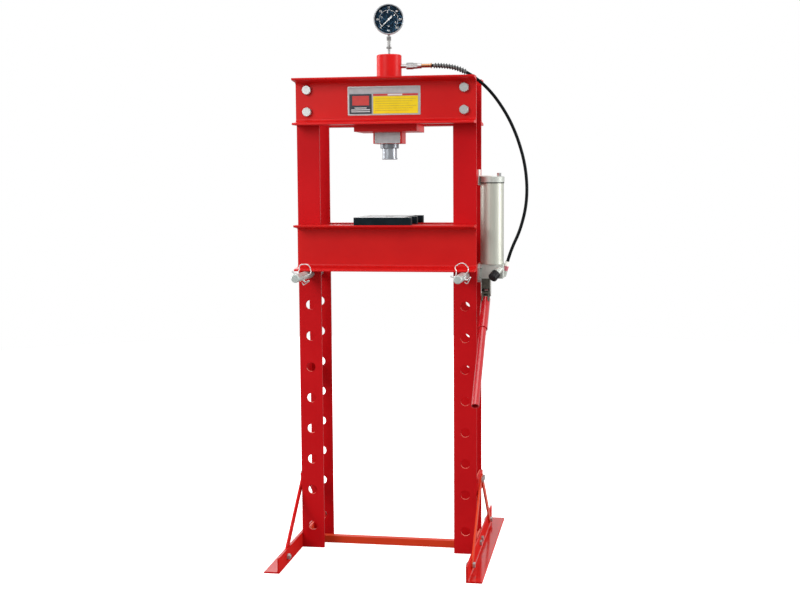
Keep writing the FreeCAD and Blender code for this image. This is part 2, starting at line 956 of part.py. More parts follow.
def pump_screw_places():
    centre = block_top - block_flange_height / 2
    return [V(post_face, y, z) for y in (-pump_screw_spread / 2, pump_screw_spread / 2)
            for z in (centre - pump_screw_pitch / 2, centre + pump_screw_pitch / 2)]


def piston_line(z):
    return V(lever_x, piston_back, z)


def pump_block():
    """Casting: a chamfered flange on the post, the block, the piston's boss below and the hose port's boss."""
    top = block_top
    half = block_flange_depth / 2
    cut = block_flange_chamfer
    flange_corners = [
        (-half, top - block_flange_height + cut, 0),
        (-half + cut, top - block_flange_height, 0),
        (half - cut, top - block_flange_height, 0),
        (half, top - block_flange_height + cut, 0),
        (half, top - cut, 0),
        (half - cut, top, 0),
        (-half + cut, top, 0),
        (-half, top - cut, 0),
    ]
    flange = prism(flange_corners, lambda u, v: V(post_face, u, v), V(block_flange_thickness, 0, 0))
    end = block_start + block_length
    body = box(block_start, end, -block_depth / 2, block_depth / 2, block_bottom, block_top)
    body = body.makeFillet(block_edge, [e for e in body.Edges if e.BoundBox.XMin > end - 1e-3])
    boss = taper(piston_line(block_bottom), piston_line(block_bottom - gland_boss_length),
                 gland_boss_top, gland_boss_bottom)
    port = rod(port_base - port_axis * boss_length, port_base, boss_diameter)
    shape = flange.fuse([body, boss, port]).removeSplitter()
    bore_top = block_bottom + piston_bore_depth
    bore = rod(piston_line(block_bottom - gland_boss_length), piston_line(bore_top), piston_rod + 2 * ram_play)
    shape = drill(shape.cut(bore), pump_screw_places(), V(2 * block_flange_thickness, 0, 0), pump_screw_size)
    face = rod(port_base, port_base + port_axis * port_face_depth, port_face_diameter)
    return shape.cut([face, valve_neck_blank(), links_blank()])


def pump_screws():
    length = block_flange_thickness + post_tie
    seat = V(block_flange_thickness, 0, 0)
    shapes = [bolt(p + seat, V(-1, 0, 0), pump_screw_size, length) for p in pump_screw_places()]
    return Part.makeCompound(shapes)


def reservoir_line(z):
    return V(reservoir_x, 0, z)


def reservoir_tube():
    return ring(reservoir_line(block_top), reservoir_line(reservoir_top),
                reservoir_diameter, reservoir_diameter - 2 * reservoir_wall)


def reservoir_cap():
    shape = rod(reservoir_line(reservoir_top), reservoir_line(clip_top), cap_diameter)
    return shape.makeChamfer(cap_edge, [round_edge(shape, reservoir_line(clip_top))])


def reservoir_clip():
    """Angle that ties the cap to the post."""
    corners = [
        (0, clip_top - clip_drop, 0),
        (clip_thickness, clip_top - clip_drop, 0),
        (clip_thickness, clip_top, 0),
        (clip_reach, clip_top, 0),
        (clip_reach, clip_top + clip_thickness, 0),
        (clip_thickness, clip_top + clip_thickness, clip_thickness),
        (clip_thickness, clip_top + clip_rise, 0),
        (0, clip_top + clip_rise, 0),
    ]
    return prism(corners, lambda u, v: V(post_face + u, -clip_depth / 2, v), V(0, clip_depth, 0))


def filler_plug():
    foot_point = V(reservoir_x + filler_offset, 0, clip_top)
    return hexagon(foot_point, foot_point + V(0, 0, filler_height), filler_hex)


# Release valve

def valve_point(distance):
    start = V(post_face, 0, block_top) + valve_start
    return start + V(valve_axis).normalize() * distance


def valve_neck_blank():
    return rod(valve_point(0), valve_point(valve_neck_length), valve_neck_diameter)


def valve_neck():
    stem = rod(valve_point(0), valve_point(valve_neck_length + valve_stem_length), valve_stem_diameter)
    return valve_neck_blank().fuse(stem).removeSplitter()


def release_knob():
    """Fluted knob, bored to turn on the neck's stem."""
    start = valve_point(valve_neck_length + knob_gap)
    end = valve_point(valve_neck_length + knob_gap + knob_length)
    shape = rod(start, end, knob_diameter)
    shape = shape.makeChamfer(knob_edge, [round_edge(shape, end)])
    along = V(valve_axis).normalize()
    sideways = along.cross(V(0, 0, 1)).normalize()
    up = sideways.cross(along)
    for i in range(knob_flutes):
        turn = 2 * math.pi * i / knob_flutes
        out = (sideways * math.cos(turn) + up * math.sin(turn)) * (knob_diameter / 2 + knob_flute_radius / 2)
        shape = shape.cut(rod(start + out, end + out, 2 * knob_flute_radius))
    bore = rod(valve_point(valve_neck_length), valve_point(valve_neck_length + valve_stem_length + 1),
               valve_stem_diameter + 2 * shaft_play)
    return shape.cut(bore)


# Lever: drawn in the plane X = lever_x, with y forward to the left of the pump

rest_angle = math.radians(lever_travel / 2)
slot_reach = fulcrum_arm / math.cos(rest_angle)
fulcrum = V(lever_x, piston_back - fulcrum_arm, fulcrum_level)
cross_pin_rest = V(lever_x, piston_back, fulcrum_level + fulcrum_arm * math.tan(rest_angle))
arm_axis = V(0, math.cos(rest_angle), math.sin(rest_angle))
arm_up = V(0, -math.sin(rest_angle), math.cos(rest_angle))
lever_tilt = math.radians(lever_angle)
lever_axis = V(0, -math.cos(lever_tilt), -math.sin(lever_tilt))
lever_up = V(0, -math.sin(lever_tilt), math.cos(lever_tilt))
lever_origin = fulcrum - lever_up * lever_axis_drop
fork_outside = fork_gap / 2 + fork_plate
link_inside = fork_outside + link_gap


def across(point, distance):
    return V(point.x + distance, point.y, point.z)


def lever_point(distance):
    return lever_origin + lever_axis * distance


def pump_piston():
    """Piston rod with a flat eye and the cross pin that the lever's fork drives."""
    pin = cross_pin_rest
    rod_top = piston_line(block_bottom + piston_rod_top)
    shape = rod(pin, rod_top, piston_rod)
    eye = rod(across(pin, -piston_rod / 2), across(pin, piston_rod / 2), piston_eye)
    cross = rod(across(pin, -fork_outside), across(pin, fork_outside), cross_pin)
    return shape.fuse([eye, cross]).removeSplitter()


def links_blank():
    """The two flat fulcrum links, from inside the block's underside down round the fulcrum pin."""
    half = link_width / 2
    top = block_bottom + half
    corners = [
        (fulcrum.y - half, fulcrum.z - half, half * 0.99),
        (fulcrum.y + half, fulcrum.z - half, half * 0.99),
        (fulcrum.y + half, top, 0),
        (fulcrum.y - half, top, 0),
    ]
    shapes = []
    for start in (lever_x + link_inside, lever_x - link_inside - link_thickness):
        shapes.append(prism(corners, lambda u, v: V(start, u, v), V(link_thickness, 0, 0)))
    return Part.makeCompound(shapes)


def fulcrum_links():
    reach = link_inside + link_thickness
    hole = rod(across(fulcrum, -reach), across(fulcrum, reach), cross_pin)
    return Part.makeCompound([link.cut(hole) for link in links_blank().Solids])


def fulcrum_pin():
    reach = link_inside + link_thickness
    return rod(across(fulcrum, -reach), across(fulcrum, reach), cross_pin)


def fork_corners():
    """Side view of one fork plate as (y, z, radius): round the slot's end, over the fulcrum, to the socket."""
    half = fork_end_radius
    end = slot_reach + half
    socket_half = socket_diameter / 2 - socket_margin
    points = [
        (fulcrum + arm_axis * end + arm_up * half, half * 0.98),
        (fulcrum + arm_up * half, half),
        (lever_point(fork_root) + lever_up * socket_half, 0),
        (lever_point(fork_root) - lever_up * socket_half, 0),
        (fulcrum - arm_up * half, half),
        (fulcrum + arm_axis * end - arm_up * half, half * 0.98),
    ]
    return [(p.y, p.z, radius) for p, radius in points]


def fork_slot():
    """Radial slot that lets the cross pin rise and fall straight while the fork swings."""
    half = cross_pin / 2 + slot_play
    near = fulcrum_arm - half - slot_play
    far = slot_reach + half + slot_play
    corners = [(near, -half, half * 0.99), (far, -half, half * 0.99), (far, half, half * 0.99), (near, half, half * 0.99)]
    start = lever_x - fork_outside - 1
    place = lambda u, v: V(start, 0, 0) + V(0, fulcrum.y, fulcrum.z) + arm_axis * u + arm_up * v
    return prism(corners, place, V(2 * fork_outside + 2, 0, 0))


def fork_plates():
    plates = []
    for start in (lever_x + fork_gap / 2, lever_x - fork_outside):
        plates.append(prism(fork_corners(), lambda u, v: V(start, u, v), V(fork_plate, 0, 0)))
    return Part.makeCompound(plates)


def socket_bore():
    return rod(lever_point(socket_start + socket_plug), lever_point(socket_end), handle_diameter + 2 * handle_play)


def lever_fork():
    """Two plates on the fulcrum pin, slotted behind it for the cross pin and let into the socket in front."""
    pin = rod(across(fulcrum, -link_inside), across(fulcrum, link_inside), cross_pin + 2 * shaft_play)
    return fork_plates().cut([pin, fork_slot(), socket_bore()])


def lever_socket():
    """Tube that takes the handle, closed towards the fork, whose plates it holds in two slots."""
    tube = rod(lever_point(socket_start), lever_point(socket_end), socket_diameter)
    return tube.cut([fork_plates(), socket_bore()])


def lever_handle():
    start = lever_point(socket_start + socket_plug)
    end = lever_point(handle_end)
    return ring(start, end, handle_diameter, handle_diameter - 2 * handle_wall)


# Bed

def bed_channel(side):
    corners = channel_corners(beam_height, beam_flange, beam_web, beam_tip)
    back = post_depth / 2 + bed_play
    centre = bed_bottom + beam_height / 2
    place = lambda u, v: V(-frame_width / 2, side * (back + u), centre + v)
    return prism(corners, place, V(frame_width, 0, 0))


def bed_spacers():
    """Plates welded between the bed's webs, just inside the posts."""
    outer = post_face - post_width - bed_side_play
    back = post_depth / 2 + bed_play
    low = bed_bottom + spacer_inset
    high = bed_top - spacer_inset
    shapes = []
    for x in (-outer, outer - spacer_thickness):
        shapes.append(box(x, x + spacer_thickness, -back, back, low, high))
    return Part.makeCompound(shapes)


def arbor_plate():
    """Thick plate with a round hole and two notches in its right edge."""
    x0 = arbor_shift - arbor_width / 2
    x1 = arbor_shift + arbor_width / 2
    y0 = -arbor_depth / 2
    shape = box(x0, x1, y0, -y0, bed_top, bed_top + arbor_thickness)
    upright = [e for e in shape.Edges if e.BoundBox.ZLength > arbor_thickness / 2]
    shape = shape.makeChamfer(arbor_chamfer, upright)
    hole = rod(V(arbor_shift, 0, bed_top), V(arbor_shift, 0, bed_top + arbor_thickness), arbor_hole)
    shape = shape.cut(hole)
    for start, end in arbor_notches():
        notch = box(x1 - arbor_notch_depth, x1 + 1, start, end, bed_top, bed_top + arbor_thickness)
        shape = shape.cut(notch)
    return shape


def arbor_notches():
    front = -arbor_depth / 2 + arbor_land
    rear = arbor_depth / 2 - arbor_land
    return [(front, front + arbor_notch_front), (rear - arbor_notch_rear, rear)]


def bed_pin(side):
    front = V(side * pin_x, post_front - pin_front_reach, pin_level)
    back = V(side * pin_x, -post_front + pin_rear_reach, pin_level)
    shape = rod(front, back, pin_diameter)
    shape = shape.makeChamfer(pin_chamfer, [round_edge(shape, front), round_edge(shape, back)])
    lock = lock_point(side, 0, 0)
    along = lock_point(side, pin_diameter, 0) - lock
    return drill(shape, [lock], along, lock_shank + 2 * lock_play)


def lock_turn(side):
    return math.radians(lock_turn_right if side == right else lock_turn_left)


def lock_point(side, u, v):
    """Point in the lock pin's plane: u along its shank and v across it, from the bed pin's centre."""
    turn = lock_turn(side)
    x = u * math.cos(turn) - v * math.sin(turn)
    z = u * math.sin(turn) + v * math.cos(turn)
    return V(side * pin_x + x, post_front - pin_front_reach + lock_inset, pin_level + z)


def lock_pin(side):
    """Wire lock pin: a shank through the bed pin, a sprung bow over it and a hooked tail at its end."""
    surface = pin_diameter / 2
    hug = surface + lock_wire / 2 + lock_hug
    end = surface + lock_shank_right
    start = lock_point(side, -surface - lock_shank_left, 0)
    shank = rod(start, lock_point(side, end, 0), lock_shank)
    bow = [
        (-hug, 0),
        (-lock_waist_half, lock_waist_height),
        (-lock_bow_half, lock_bow_level),
        (0, lock_bow_top),
        (lock_bow_half, lock_bow_level),
        (lock_waist_half, lock_waist_height),
        (hug, 0),
    ]
    tail = [
        (end - lock_wire / 2, 0),
        (end + lock_tail_reach, lock_tail_rise),
        (end, -lock_tail_drop),
        (hug, -lock_tail_end),
    ]
    wires = []
    for corners in (bow, tail):
        edges, radii = route_pieces([lock_point(side, u, v) for u, v in corners])
        wires.append(tube_along(edges, lock_wire, wire_sides))
    return shank.fuse(wires).removeSplitter()


PARTS = {
    "left_post": lambda: post(left),
    "right_post": lambda: post(right),
    "front_top_beam": lambda: top_beam(-1),
    "rear_top_beam": lambda: top_beam(1),
    "beam_bolts": beam_bolts,
    "beam_nuts": beam_nuts,
    "name_plate": name_plate,
    "left_foot": lambda: foot(left),
    "right_foot": lambda: foot(right),
    "left_brace_lug": lambda: brace_lug(left),
    "right_brace_lug": lambda: brace_lug(right),
    "left_front_brace": lambda: brace(left, brace_top_places()[0], brace_foot_places()[0]),
    "left_rear_brace": lambda: brace(left, brace_top_places()[1], brace_foot_places()[1]),
    "right_front_brace": lambda: brace(right, brace_top_places()[0], brace_foot_places()[0]),
    "right_rear_brace": lambda: brace(right, brace_top_places()[1], brace_foot_places()[1]),
    "foot_bolts": foot_bolts,
    "foot_nuts": foot_nuts,
    "base_crossbar": base_crossbar,
    "cylinder_mount_plate": cylinder_mount_plate,
    "guide_block": guide_block,
    "gland_ring": gland_ring,
    "cylinder_barrel": cylinder_barrel,
    "ram": ram,
    "sign_plate": sign_plate,
    "gauge_pipe": gauge_pipe,
    "gauge_case": gauge_case,
    "gauge_bezel": gauge_bezel,
    "gauge_dial": gauge_dial,
    "gauge_glass": gauge_glass,
    "gauge_needle": gauge_needle,
    "hose_nipple": hose_nipple,
    "hose_couplings": hose_couplings,
    "hose_ferrule": hose_ferrule,
    "hose_sleeve": hose_sleeve,
    "hose": hose,
    "hose_spring_guard": hose_spring_guard,
    "port_ferrule": port_ferrule,
    "port_nut": port_nut,
    "pump_block": pump_block,
    "pump_screws": pump_screws,
    "reservoir_tube": reservoir_tube,
    "reservoir_cap": reservoir_cap,
    "reservoir_clip": reservoir_clip,
    "filler_plug": filler_plug,
    "valve_neck": valve_neck,
    "release_knob": release_knob,
    "pump_piston": pump_piston,
    "fulcrum_links": fulcrum_links,
    "fulcrum_pin": fulcrum_pin,
    "lever_fork": lever_fork,
    "lever_socket": lever_socket,
    "lever_handle": lever_handle,
    "bed_front_channel": lambda: bed_channel(-1),
    "bed_rear_channel": lambda: bed_channel(1),
    "bed_spacers": bed_spacers,
    "arbor_plate": arbor_plate,
    "left_bed_pin": lambda: bed_pin(left),
    "right_bed_pin": lambda: bed_pin(right),
    "left_lock_pin": lambda: lock_pin(left),
    "right_lock_pin": lambda: lock_pin(right),
}

os.makedirs("parts", exist_ok=True)
for name, make in PARTS.items():
    shape = make()
    if not shape.isValid():
        print("not valid:", name)
    shape.exportStep(f"parts/{name}.step")
print(len(PARTS), "parts")
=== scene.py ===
"""Looks of the workshop press: camera, light, materials, hose, gauge face, plates and small trim. Metres."""

import math

import bmesh
import bpy
from mathutils import Matrix, Vector


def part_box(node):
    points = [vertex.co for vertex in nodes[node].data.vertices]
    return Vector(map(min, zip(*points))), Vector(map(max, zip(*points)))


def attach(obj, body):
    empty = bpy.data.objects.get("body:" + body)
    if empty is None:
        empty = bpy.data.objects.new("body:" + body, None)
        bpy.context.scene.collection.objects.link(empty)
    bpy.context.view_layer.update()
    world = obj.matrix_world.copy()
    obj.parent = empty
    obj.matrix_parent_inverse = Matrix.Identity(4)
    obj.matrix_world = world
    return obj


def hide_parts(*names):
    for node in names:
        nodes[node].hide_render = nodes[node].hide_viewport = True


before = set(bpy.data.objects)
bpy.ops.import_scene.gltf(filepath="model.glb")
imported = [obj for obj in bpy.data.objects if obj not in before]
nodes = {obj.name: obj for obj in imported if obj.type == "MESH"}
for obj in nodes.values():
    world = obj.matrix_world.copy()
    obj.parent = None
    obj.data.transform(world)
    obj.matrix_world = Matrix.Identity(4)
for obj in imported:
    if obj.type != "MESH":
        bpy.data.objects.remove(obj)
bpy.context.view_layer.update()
scene = bpy.context.scene
scene.view_settings.view_transform = "Standard"


# Camera and light

def add_camera(position, yaw, pitch, roll, lens):
    yaw, pitch, roll = (math.radians(a) for a in (yaw, pitch, roll))
    ahead = Vector((-math.sin(yaw) * math.cos(pitch), math.cos(yaw) * math.cos(pitch), -math.sin(pitch)))
    level = Vector((math.cos(yaw), math.sin(yaw), 0))
    up = level.cross(ahead)
    right = level * math.cos(roll) + up * math.sin(roll)
    top = up * math.cos(roll) - level * math.sin(roll)
    turn = Matrix((right, top, -ahead)).transposed()
    camera = bpy.data.objects.new("camera", bpy.data.cameras.new("camera"))
    camera.data.lens = lens
    camera.data.sensor_width = 36
    camera.data.clip_end = 100
    camera.matrix_world = Matrix.Translation(position) @ turn.to_4x4()
    scene.collection.objects.link(camera)
    scene.camera = camera


def add_area(name, position, target, size, watts):
    light = bpy.data.lights.new(name, "AREA")
    light.shape = "RECTANGLE"
    light.size, light.size_y = size
    light.energy = watts
    lamp = bpy.data.objects.new(name, light)
    lamp.location = position
    lamp.rotation_euler = (Vector(target) - Vector(position)).to_track_quat("-Z", "Y").to_euler()
    scene.collection.objects.link(lamp)


def add_world(front, back):
    """White to look at, and a soft grey light that falls off from the front to the back."""
    world = bpy.data.worlds.new("studio")
    world.use_nodes = True
    tree = world.node_tree
    place = tree.nodes.new("ShaderNodeTexCoord")
    split = tree.nodes.new("ShaderNodeSeparateXYZ")
    glow = tree.nodes.new("ShaderNodeMapRange")
    path = tree.nodes.new("ShaderNodeLightPath")
    pick = tree.nodes.new("ShaderNodeMix")
    glow.inputs["From Min"].default_value = -1
    glow.inputs["To Min"].default_value = front
    glow.inputs["To Max"].default_value = back
    pick.inputs["B"].default_value = 1.0
    tree.links.new(place.outputs["Generated"], split.inputs["Vector"])
    tree.links.new(split.outputs["Y"], glow.inputs["Value"])
    tree.links.new(path.outputs["Is Camera Ray"], pick.inputs["Factor"])
    tree.links.new(glow.outputs["Result"], pick.inputs["A"])
    background = tree.nodes["Background"]
    background.inputs["Color"].default_value = (1, 1, 1, 1)
    tree.links.new(pick.outputs["Result"], background.inputs["Strength"])
    scene.world = world


add_camera((0.790, -4.313, 1.299), 9.96, 5.53, -0.38, 56.66)
add_world(0.50, 0.70)
add_area("key", (-2.5, -4.0, 3.2), (0, 0, 1.0), (2.4, 2.4), 140)
add_area("top", (0.2, -0.6, 4.6), (0, 0, 1.0), (3.0, 3.0), 60)
add_area("right", (4.2, -0.2, 1.9), (0, 0, 1.1), (1.2, 3.0), 130)
add_area("left", (-4.0, 0.8, 1.9), (0, 0, 1.1), (1.0, 3.0), 90)
add_area("rear", (-2.2, 4.2, 3.0), (0, 0, 1.0), (2.4, 2.4), 50)


# Materials

def new_material(name, colour, roughness, metallic=0.0, **values):
    mat = bpy.data.materials.new(name)
    mat.use_nodes = True
    shader = mat.node_tree.nodes["Principled BSDF"]
    shader.inputs["Base Color"].default_value = (*colour, 1)
    shader.inputs["Roughness"].default_value = roughness
    shader.inputs["Metallic"].default_value = metallic
    for socket, value in values.items():
        shader.inputs[socket.replace("_", " ")].default_value = value
    return mat, shader


def coordinates(mat, scale=(1, 1, 1)):
    """Object coordinates, stretched."""
    tree = mat.node_tree
    place = tree.nodes.new("ShaderNodeTexCoord")
    stretch = tree.nodes.new("ShaderNodeMapping")
    stretch.inputs["Scale"].default_value = scale
    tree.links.new(place.outputs["Object"], stretch.inputs["Vector"])
    return stretch.outputs["Vector"]


def noise(mat, vector, scale, detail=3.0, roughness=0.55):
    tree = mat.node_tree
    node = tree.nodes.new("ShaderNodeTexNoise")
    node.inputs["Scale"].default_value = scale
    node.inputs["Detail"].default_value = detail
    node.inputs["Roughness"].default_value = roughness
    tree.links.new(vector, node.inputs["Vector"])
    return node.outputs["Fac"]


def ramp(mat, factor, stops):
    """Colour ramp with (position, colour) stops; a plain number is a grey."""
    tree = mat.node_tree
    node = tree.nodes.new("ShaderNodeValToRGB")
    elements = node.color_ramp.elements
    while len(elements) < len(stops):
        elements.new(0.5)
    for element, (position, colour) in zip(elements, stops):
        element.position = position
        element.color = (*colour, 1) if isinstance(colour, tuple) else (colour, colour, colour, 1)
    tree.links.new(factor, node.inputs["Fac"])
    return node.outputs["Color"]


def blend_colours(mat, factor, first, second):
    tree = mat.node_tree
    node = tree.nodes.new("ShaderNodeMix")
    node.data_type = "RGBA"
    tree.links.new(factor, node.inputs["Factor"])
    tree.links.new(first, node.inputs[6])
    tree.links.new(second, node.inputs[7])
    return node.outputs[2]


def facing_up(mat, least=0.8):
    """1 on faces that look up, 0 on the others."""
    tree = mat.node_tree
    place = tree.nodes.new("ShaderNodeTexCoord")
    split = tree.nodes.new("ShaderNodeSeparateXYZ")
    limit = tree.nodes.new("ShaderNodeMath")
    limit.operation = "GREATER_THAN"
    limit.inputs[1].default_value = least
    tree.links.new(place.outputs["Normal"], split.inputs["Vector"])
    tree.links.new(split.outputs["Z"], limit.inputs[0])
    return limit.outputs["Value"]


def spread_roughness(mat, shader, factor, low, high):
    node = mat.node_tree.nodes.new("ShaderNodeMapRange")
    node.inputs["To Min"].default_value = low
    node.inputs["To Max"].default_value = high
    mat.node_tree.links.new(factor, node.inputs["Value"])
    mat.node_tree.links.new(node.outputs["Result"], shader.inputs["Roughness"])


def surface(mat, shader, height, strength, distance, edge):
    """Bump from a height, over edges rounded by the radius edge, unless it is 0."""
    tree = mat.node_tree
    bump = tree.nodes.new("ShaderNodeBump")
    bump.inputs["Strength"].default_value = strength
    bump.inputs["Distance"].default_value = distance
    tree.links.new(height, bump.inputs["Height"])
    if edge:
        round_edge = tree.nodes.new("ShaderNodeBevel")
        round_edge.samples = 6
        round_edge.inputs["Radius"].default_value = edge
        tree.links.new(round_edge.outputs["Normal"], bump.inputs["Normal"])
    tree.links.new(bump.outputs["Normal"], shader.inputs["Normal"])


def enamel(name, deep, light, edge=0.0015, roughness=(0.30, 0.42), gloss=0.15, coat=0.0, painted_top_highlight=False,
           sleek_tops=False):
    """Gloss enamel: faint colour drift and orange peel; if wanted, a painted highlight of paler red on every
    face that looks up, or a clear coat on tops alone."""
    mat, shader = new_material(name, light, 0.35, Coat_Weight=coat, Coat_Roughness=0.12,
                               Specular_IOR_Level=gloss)
    vector = coordinates(mat)
    drift = noise(mat, vector, 5.0, 4.0)
    colour = ramp(mat, drift, [(0.3, deep), (0.7, light)])
    # Painted highlight: paler red where faces look up, for the light that catches the bores' lower rims.
    if painted_top_highlight:
        lit_top_colour = ramp(mat, drift, [(0.3, (0.80, 0.16, 0.12)), (0.7, (0.90, 0.26, 0.20))])
        colour = blend_colours(mat, facing_up(mat, 0.25), colour, lit_top_colour)
    mat.node_tree.links.new(colour, shader.inputs["Base Color"])
    spread_roughness(mat, shader, noise(mat, vector, 35.0), *roughness)
    if sleek_tops:
        mat.node_tree.links.new(facing_up(mat), shader.inputs["Coat Weight"])
    surface(mat, shader, noise(mat, vector, 420.0, 2.0), 0.35, 0.00015, edge)
    return mat


def metal(name, deep, light, roughness, edge=0.0004, grain=(1, 1, 1), scale=180.0, metallic=1.0,
          strength=0.2):
    """Bare or plated metal with a fine grain."""
    mat, shader = new_material(name, light, roughness[0], metallic)
    vector = coordinates(mat, grain)
    tone = noise(mat, vector, scale, 4.0, 0.7)
    mat.node_tree.links.new(ramp(mat, tone, [(0.25, deep), (0.75, light)]), shader.inputs["Base Color"])
    spread_roughness(mat, shader, noise(mat, coordinates(mat), 25.0), *roughness)
    surface(mat, shader, tone, strength, 0.00005, edge)
    return mat


def plastic(name, deep, light, roughness=(0.4, 0.55), edge=0.0006, scale=900.0, strength=0.3, gloss=0.5):
    mat, shader = new_material(name, light, roughness[0], Specular_IOR_Level=gloss)
    vector = coordinates(mat)
    mat.node_tree.links.new(ramp(mat, noise(mat, vector, 60.0), [(0.3, deep), (0.7, light)]),
                            shader.inputs["Base Color"])
    spread_roughness(mat, shader, noise(mat, vector, 90.0), *roughness)
    surface(mat, shader, noise(mat, vector, scale, 2.0), strength, 0.0001, edge)
    return mat


def ground_plate(name):
    """Flame-cut plate: dark scale on its sides and a ground top with fine lines along its length."""
    mat, shader = new_material(name, (0.02, 0.03, 0.04), 0.45, 0.0, Specular_IOR_Level=0.06)
    vector = coordinates(mat)
    scale_skin = ramp(mat, noise(mat, vector, 45.0, 5.0),
                      [(0.3, (0.004, 0.009, 0.012)), (0.7, (0.009, 0.016, 0.021))])
    lines = noise(mat, coordinates(mat, (30, 1, 1)), 60.0, 3.0, 0.7)
    ground = ramp(mat, lines, [(0.2, (0.50, 0.54, 0.55)), (0.8, (0.68, 0.72, 0.72))])
    mat.node_tree.links.new(blend_colours(mat, facing_up(mat), scale_skin, ground),
                            shader.inputs["Base Color"])
    spread_roughness(mat, shader, noise(mat, vector, 80.0), 0.4, 0.55)
    surface(mat, shader, lines, 0.15, 0.0001, 0.0012)
    return mat


def glass(name):
    return new_material(name, (1, 1, 1), 0.02, Transmission_Weight=1.0, IOR=1.05)[0]


def studio_floor():
    """Pale, with a broad soft mottle; brighter to look at than the light it throws back."""
    mat, shader = new_material("studio floor", (0.9, 0.9, 0.9), 0.7)
    tree = mat.node_tree
    path = tree.nodes.new("ShaderNodeLightPath")
    thrown = ramp(mat, noise(mat, coordinates(mat), 0.8), [(0.3, 0.29), (0.7, 0.31)])
    seen = ramp(mat, noise(mat, coordinates(mat), 0.8), [(0.3, 0.90), (0.7, 0.92)])
    tree.links.new(blend_colours(mat, path.outputs["Is Camera Ray"], thrown, seen),
                   shader.inputs["Base Color"])
    glow = tree.nodes.new("ShaderNodeMath")
    glow.operation = "MULTIPLY"
    glow.inputs[1].default_value = 0.75
    tree.links.new(path.outputs["Is Camera Ray"], glow.inputs[0])
    shader.inputs["Emission Color"].default_value = (1, 1, 1, 1)
    tree.links.new(glow.outputs["Value"], shader.inputs["Emission Strength"])
    return mat


red = enamel("red enamel", (0.56, 0.006, 0.007), (0.62, 0.010, 0.009))
# Posts: a darker, duller copy of the red enamel, as painted shade; their upward faces also get the painted
# highlight.
post_red = enamel("post enamel", (0.50, 0.004, 0.007), (0.55, 0.006, 0.009), gloss=0.09, painted_top_highlight=True)
lever_red = enamel("lever enamel", (0.44, 0.004, 0.009), (0.52, 0.007, 0.012), 0.0008, (0.14, 0.18), 0.4, 0.9)
foot_red = enamel("foot enamel", (0.52, 0.010, 0.008), (0.58, 0.014, 0.010), 0.0012, (0.5, 0.6), 0.02,
                  sleek_tops=True)
rose = metal("red plated nut", (0.62, 0.14, 0.18), (0.74, 0.22, 0.27), (0.25, 0.35), 0.0006, metallic=0.3)
orange = enamel("orange enamel", (0.60, 0.042, 0.012), (0.67, 0.054, 0.016), gloss=0.09)
wire_bright = metal("bright wire", (0.66, 0.66, 0.65), (0.82, 0.82, 0.80), (0.2, 0.3), 0.0006, metallic=0.6)
zinc = metal("zinc plate", (0.40, 0.42, 0.41), (0.54, 0.56, 0.55), (0.30, 0.42), 0.0008, metallic=0.8)
steel = metal("machined steel", (0.42, 0.42, 0.42), (0.60, 0.60, 0.59), (0.25, 0.4))
stem_steel = metal("plated stem", (0.20, 0.20, 0.20), (0.34, 0.34, 0.33), (0.25, 0.4), metallic=0.8)
bright = metal("bright ring", (0.42, 0.44, 0.46), (0.56, 0.58, 0.60), (0.2, 0.3), 0.0006, metallic=0.7)
ground = metal("ground steel", (0.30, 0.33, 0.36), (0.38, 0.41, 0.44), (0.28, 0.38), 0.0006, (1, 1, 12),
               60.0, 0.55, 0.05)
gland_steel = metal("dark ground steel", (0.15, 0.17, 0.19), (0.22, 0.24, 0.26), (0.28, 0.38), 0.0008,
                    (1, 1, 12), 60.0, 0.55, 0.05)
pale = metal("pale plate", (0.84, 0.82, 0.76), (0.94, 0.92, 0.86), (0.35, 0.45), 0.0008, (1, 1, 1), 200.0,
             0.0)
pin_steel = metal("pin steel", (0.38, 0.42, 0.40), (0.52, 0.57, 0.54), (0.30, 0.42), 0.0008, (1, 40, 1),
                  20.0, 0.25, 0.1)
cast = metal("cast alloy", (0.42, 0.44, 0.40), (0.54, 0.56, 0.52), (0.42, 0.55), 0.0012, (1, 1, 1), 260.0,
             0.25, 0.5)
tube = metal("drawn alloy", (0.44, 0.45, 0.39), (0.52, 0.53, 0.46), (0.40, 0.48), 0.0008, (60, 60, 1), 3.0,
             0.4, 0.02)
linkage = metal("phosphated steel", (0.07, 0.07, 0.055), (0.17, 0.17, 0.14), (0.40, 0.55), 0.0006,
                (1, 1, 1), 120.0)
copper = metal("copper", (0.40, 0.19, 0.09), (0.54, 0.29, 0.15), (0.15, 0.25), 0.0004)
black = plastic("black plastic", (0.003, 0.003, 0.004), (0.008, 0.008, 0.010), gloss=0.2)
rubber = plastic("hose rubber", (0.002, 0.003, 0.004), (0.004, 0.006, 0.007), (0.22, 0.32), 0.0, gloss=0.12)
spring_black = metal("black wire", (0.004, 0.004, 0.005), (0.012, 0.012, 0.014), (0.35, 0.5), 0.0002,
                     scale=400.0, metallic=0.2)
# Pale sleeve under the wire guard: painted glints, pale where the black hose only catches highlights between
# the turns.
glint_sleeve = metal("pale glint sleeve", (0.09, 0.10, 0.10), (0.24, 0.26, 0.25), (0.45, 0.6), 0.0, (1, 1, 1), 500.0, 0.0,
              0.4)
# Fulcrum links made pale all over: a painted highlight for the bright streak along their edge.
highlight_link_steel = metal("link steel with painted highlight", (0.52, 0.52, 0.48), (0.70, 0.70, 0.66), (0.30, 0.42), 0.0008,
                   (1, 1, 1), 120.0)
white_paint = plastic("white mark", (0.72, 0.74, 0.74), (0.85, 0.86, 0.86), scale=400.0)
dial_blue = plastic("dial", (0.004, 0.024, 0.050), (0.008, 0.034, 0.066), (0.5, 0.6), gloss=0.15)
arbor = ground_plate("arbor plate")
clear = glass("gauge glass")

